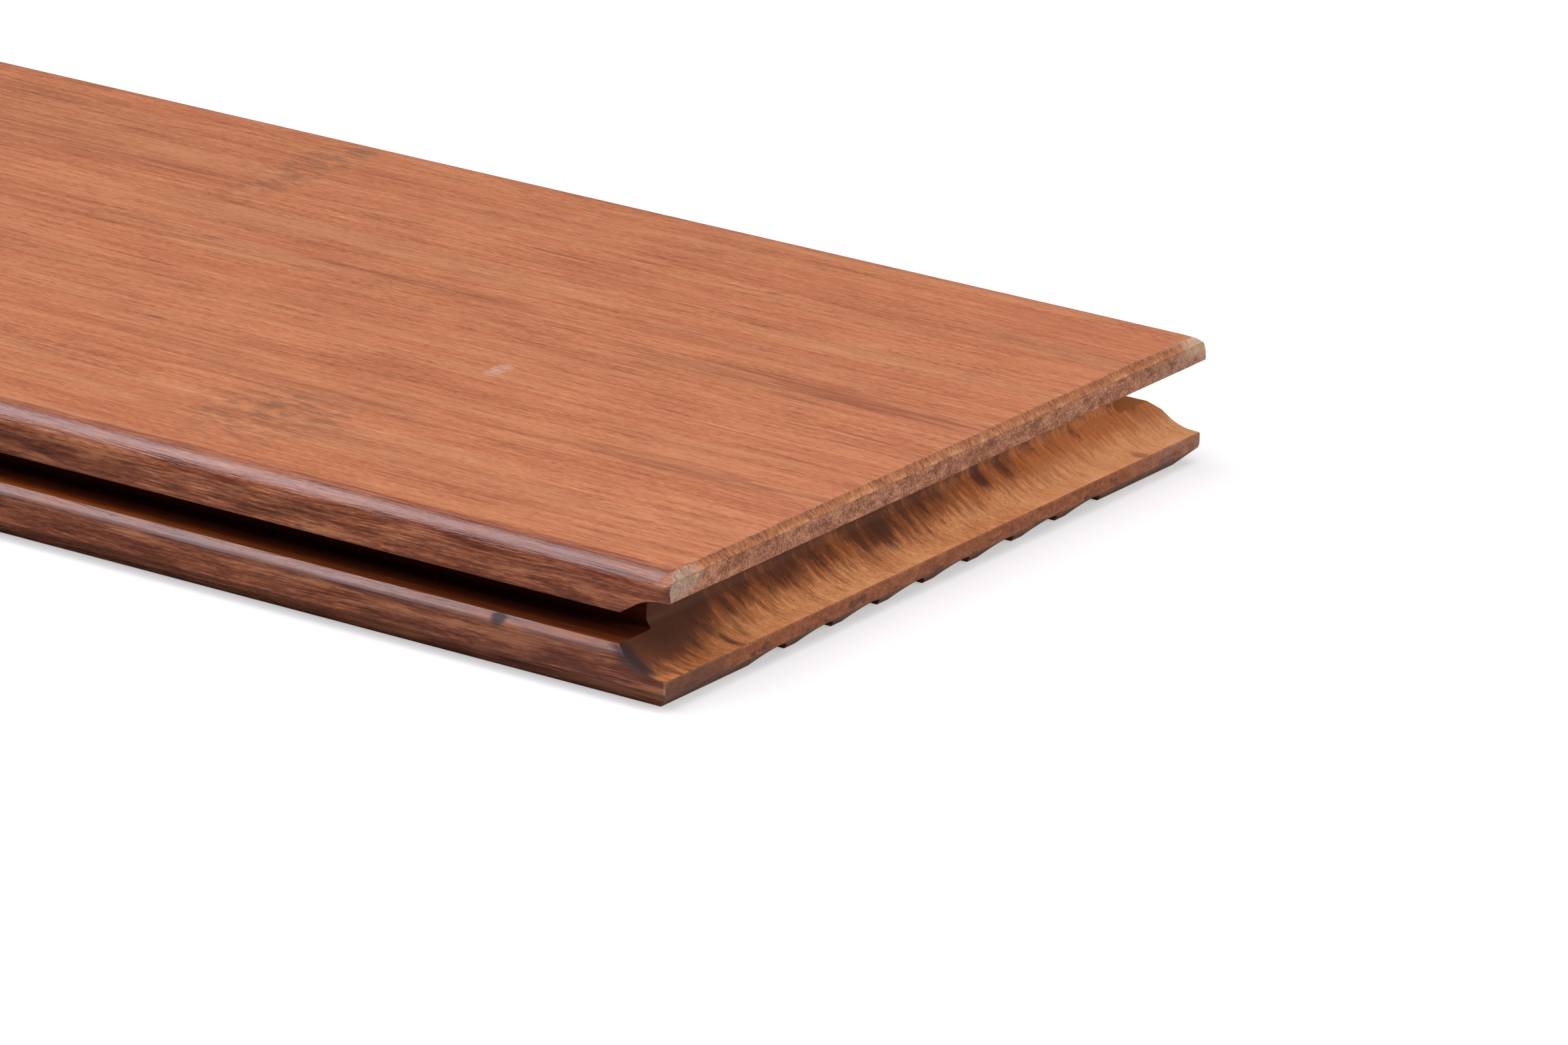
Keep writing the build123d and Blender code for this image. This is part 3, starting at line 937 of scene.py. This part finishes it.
def sealed_end():
    """End grain under sealer: pinkish brown and mottled, darker on the lower lip, with a painted reflection
    on the bottom chamfer, crumbled at the corners.
    """
    f = Finish("sealed_end")
    y, z = f.parts(f.place)[1:]
    speck = f.noise(f.place, (0.5, 0.36, 0.30), 3, 0.65, shift=2.9)
    mottle = f.noise(f.place, (2.5, 2.2, 1.3), 3, 0.65, shift=5.5)
    colour = f.ramp(f.total((speck, 2.1), (mottle, 1.8)), SEALED_TONES)
    low = f.spread(z, 6.0, 4.8)
    colour = f.blend(f.times(low, 0.60), colour, LOWER_LIP_RED)
    dull = f.times(low, f.spread(y, -50.0, -62.0))
    colour = f.blend(f.times(dull, 0.62), colour, LOWER_LIP_DULL)
    stain = f.noise(f.place, (4.0, 4.5, 1.6), 3, 0.65, shift=17.0)
    stain = f.spread(f.plus(stain, f.math("SUBTRACT", 3.4, z), 0.07), 0.54, 0.68)
    colour = f.blend(f.times(low, stain, 0.72), colour, FOOT_STAIN)
    # Painted reflection of the floor: a pale strip on the bottom chamfer
    colour = f.blend(f.spread(f.plus(z, mottle, 0.3), 2.85, 2.60, 0.0, 0.30), colour, FOOT_PAINTED_REFLECTION)
    bloom = f.times(f.spread(y, 48.0, 66.0), f.spread(mottle, 0.30, 0.60))
    colour = f.blend(f.times(bloom, 0.45), colour, END_BLOOM)
    colour, torn, torn_height = torn_look(f, colour)

    # Crumbled corners: grey with pale bits near, smoother and beige far
    ragged = f.plus(-0.7, f.noise(f.place, (1.6, 1.4, 1.4), 3, 0.65, shift=19.0), 1.4)
    near_chip = f.spot((HALF_LENGTH, -69.0, 18.4), (6.0, 6.4, 2.6), ragged)
    far_chip = f.spot((HALF_LENGTH, 68.6, 19.0), (6.0, 5.4, 2.0), f.times(ragged, 0.5))
    crumb = f.noise(f.place, (0.8, 0.6, 0.6), 3, 0.65, shift=23.0)
    pale = f.spread(f.noise(f.place, (1.2, 1.0, 0.8), 2, 0.6, shift=26.0), 0.58, 0.68, 0.0, 0.5)
    grey = f.blend(pale, f.ramp(crumb, GREY_CRUMBS), CRUMB_PALE)
    colour = f.blend(f.times(near_chip, 0.9), colour, grey)
    colour = f.blend(f.times(far_chip, 0.85), colour, f.ramp(crumb, BEIGE_CRUMBS))
    chipped = f.math("MAXIMUM", near_chip, f.times(far_chip, 0.5))
    roughness = f.plus(0.42, f.math("MAXIMUM", torn, chipped), 0.4)
    height = f.plus(f.times(speck, 0.15), f.times(torn, torn_height), 0.6)
    height = f.plus(height, f.times(chipped, crumb), 0.8)
    return f.finish(colour, roughness, height, 0.2)


board = bpy.data.objects.new("decking_board_skin", board_mesh())
bpy.context.scene.collection.objects.link(board)
for material in (oiled_bamboo(), raw_bamboo(), sealed_end(), oiled_groove()):
    board.data.materials.append(material)
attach(board, "root")
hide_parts("decking_board")


# Greys of the floor: as the camera sees it, in the light it sends up, and in reflections
FLOOR_SEEN = 0.96
FLOOR_SENT = 0.50
FLOOR_REFLECTED = 0.10

# White share of the floor near the board and far from it, and the distances in millimetres it rises between
WHITE_NEAR = 0.45
WHITE_FAR = 0.97
WHITE_FROM = 250.0
WHITE_TO = 1100.0

# Half size and height of the floor in metres; a hair below the underside, so that the two don't share a plane
FLOOR_REACH = 40.0
FLOOR_TOP = -0.0001

# Strength of the surround at the horizon and overhead, and how steeply up it starts to rise
HORIZON = 0.08
ZENITH = 0.40
HORIZON_TOP = 0.35


def floor_finish():
    """Pale matte floor: near white to the camera, with the board's shadow kept, white away from the board.

    It is mid grey in the light it sends up and dim in reflections, so that the dark sides keep their colour.
    """
    f = Finish("pale_floor")
    path = f.nodes.new("ShaderNodeLightPath")
    shades = []
    for grey in (FLOOR_SEEN, FLOOR_SENT, FLOOR_REFLECTED):
        shade = f.nodes.new("ShaderNodeBsdfDiffuse")
        shade.inputs["Color"].default_value = (grey, grey, grey, 1)
        shades.append(shade.outputs[0])
    seen, sent, reflected = shades
    glow = f.nodes.new("ShaderNodeEmission")
    glow.inputs["Color"].default_value = (1, 1, 1, 1)
    x, y = f.parts(f.place)[:2]
    past_end = f.math("MAXIMUM", f.math("SUBTRACT", f.math("ABSOLUTE", x), HALF_LENGTH), 0.0)
    away = f.math("SQRT", f.plus(f.times(past_end, past_end), y, y))
    white = f.spread(away, WHITE_FROM, WHITE_TO, WHITE_NEAR, WHITE_FAR)
    shown = f.mixed(white, seen, glow.outputs[0])
    hidden = f.mixed(path.outputs["Is Diffuse Ray"], reflected, sent)
    surface = f.mixed(path.outputs["Is Camera Ray"], hidden, shown)
    f.links.new(surface, f.nodes["Material Output"].inputs["Surface"])
    f.nodes.remove(f.shader)
    return f.material


floor_mesh = bpy.data.meshes.new("floor")
corners = [(FLOOR_REACH * u, FLOOR_REACH * v, FLOOR_TOP) for u, v in ((-1, -1), (1, -1), (1, 1), (-1, 1))]
floor_mesh.from_pydata(corners, [], [(0, 1, 2, 3)])
floor_mesh.materials.append(floor_finish())
floor = bpy.data.objects.new("floor", floor_mesh)
bpy.context.scene.collection.objects.link(floor)


def studio_world():
    """Soft surround: dim at the horizon and brighter overhead; plain white where the camera sees it."""
    world = bpy.data.worlds.new("studio")
    world.use_nodes = True
    nodes = world.node_tree.nodes
    links = world.node_tree.links
    nodes.clear()
    way = nodes.new("ShaderNodeTexCoord")
    split = nodes.new("ShaderNodeSeparateXYZ")
    links.new(way.outputs["Generated"], split.inputs[0])
    grade = nodes.new("ShaderNodeMapRange")
    grade.inputs["From Min"].default_value = HORIZON_TOP
    grade.inputs["From Max"].default_value = 1.0
    grade.inputs["To Min"].default_value = HORIZON
    grade.inputs["To Max"].default_value = ZENITH
    links.new(split.outputs[2], grade.inputs["Value"])
    soft = nodes.new("ShaderNodeBackground")
    links.new(grade.outputs[0], soft.inputs["Strength"])
    white = nodes.new("ShaderNodeBackground")
    white.inputs["Strength"].default_value = 1.0
    for background in (soft, white):
        background.inputs["Color"].default_value = (1, 1, 1, 1)
    path = nodes.new("ShaderNodeLightPath")
    choice = nodes.new("ShaderNodeMixShader")
    links.new(path.outputs["Is Camera Ray"], choice.inputs[0])
    links.new(soft.outputs[0], choice.inputs[1])
    links.new(white.outputs[0], choice.inputs[2])
    links.new(choice.outputs[0], nodes.new("ShaderNodeOutputWorld").inputs["Surface"])
    return world


def softbox(name, place, aim, size, radiance, colour):
    """Rectangular lamp of a given brightness: its power is pi times area times radiance."""
    lamp = bpy.data.lights.new(name, "AREA")
    lamp.shape = "RECTANGLE"
    lamp.size, lamp.size_y = size
    lamp.energy = math.pi * size[0] * size[1] * radiance
    lamp.color = colour
    away = (Vector(place) - Vector(aim)).normalized()
    across = Vector((1, 0, 0)) if abs(away.x) < 0.7 else Vector((0, 1, 0))
    upward = away.cross(across).normalized()
    across = upward.cross(away).normalized()
    box = bpy.data.objects.new(name, lamp)
    box.matrix_world = Matrix.Translation(place) @ Matrix((across, upward, away)).transposed().to_4x4()
    bpy.context.scene.collection.objects.link(box)


bpy.context.scene.world = studio_world()
softbox("overhead_strip", (0.4, -0.30, 1.40), (0.4, 0.0, 0.0), (3.4, 0.90), 2.9, (0.95, 0.92, 1.0))
softbox("front_strip", (0.2, -1.05, 1.12), (0.2, 0.0, 0.0), (3.0, 0.62), 3.0, (0.95, 0.92, 1.0))
softbox("right_softbox", (2.25, 0.35, 0.60), (0.925, 0.0, 0.0), (0.9, 0.9), 4.4, (1.0, 0.97, 0.93))

# Camera, fitted to the board's edges
AZIMUTH = math.radians(32.506)
ELEVATION = math.radians(18.764)
ROLL = math.radians(2.429)
EYE = (1.54739, -1.01937, 0.41392)
LENS = 206.63
SENSOR_WIDTH = 36.0
level_right = Vector((math.cos(AZIMUTH), math.sin(AZIMUTH), 0))
level_back = Vector((math.sin(AZIMUTH), -math.cos(AZIMUTH), 0))
back = level_back * math.cos(ELEVATION) + Vector((0, 0, math.sin(ELEVATION)))
level_up = back.cross(level_right)
right = level_right * math.cos(ROLL) + level_up * math.sin(ROLL)
up = level_up * math.cos(ROLL) - level_right * math.sin(ROLL)
camera = bpy.data.objects.new("camera", bpy.data.cameras.new("camera"))
camera.data.sensor_width = SENSOR_WIDTH
camera.data.lens = LENS
camera.matrix_world = Matrix.Translation(EYE) @ Matrix((right, up, back)).transposed().to_4x4()
bpy.context.scene.collection.objects.link(camera)
bpy.context.scene.camera = camera
bpy.context.scene.view_settings.view_transform = "Standard"
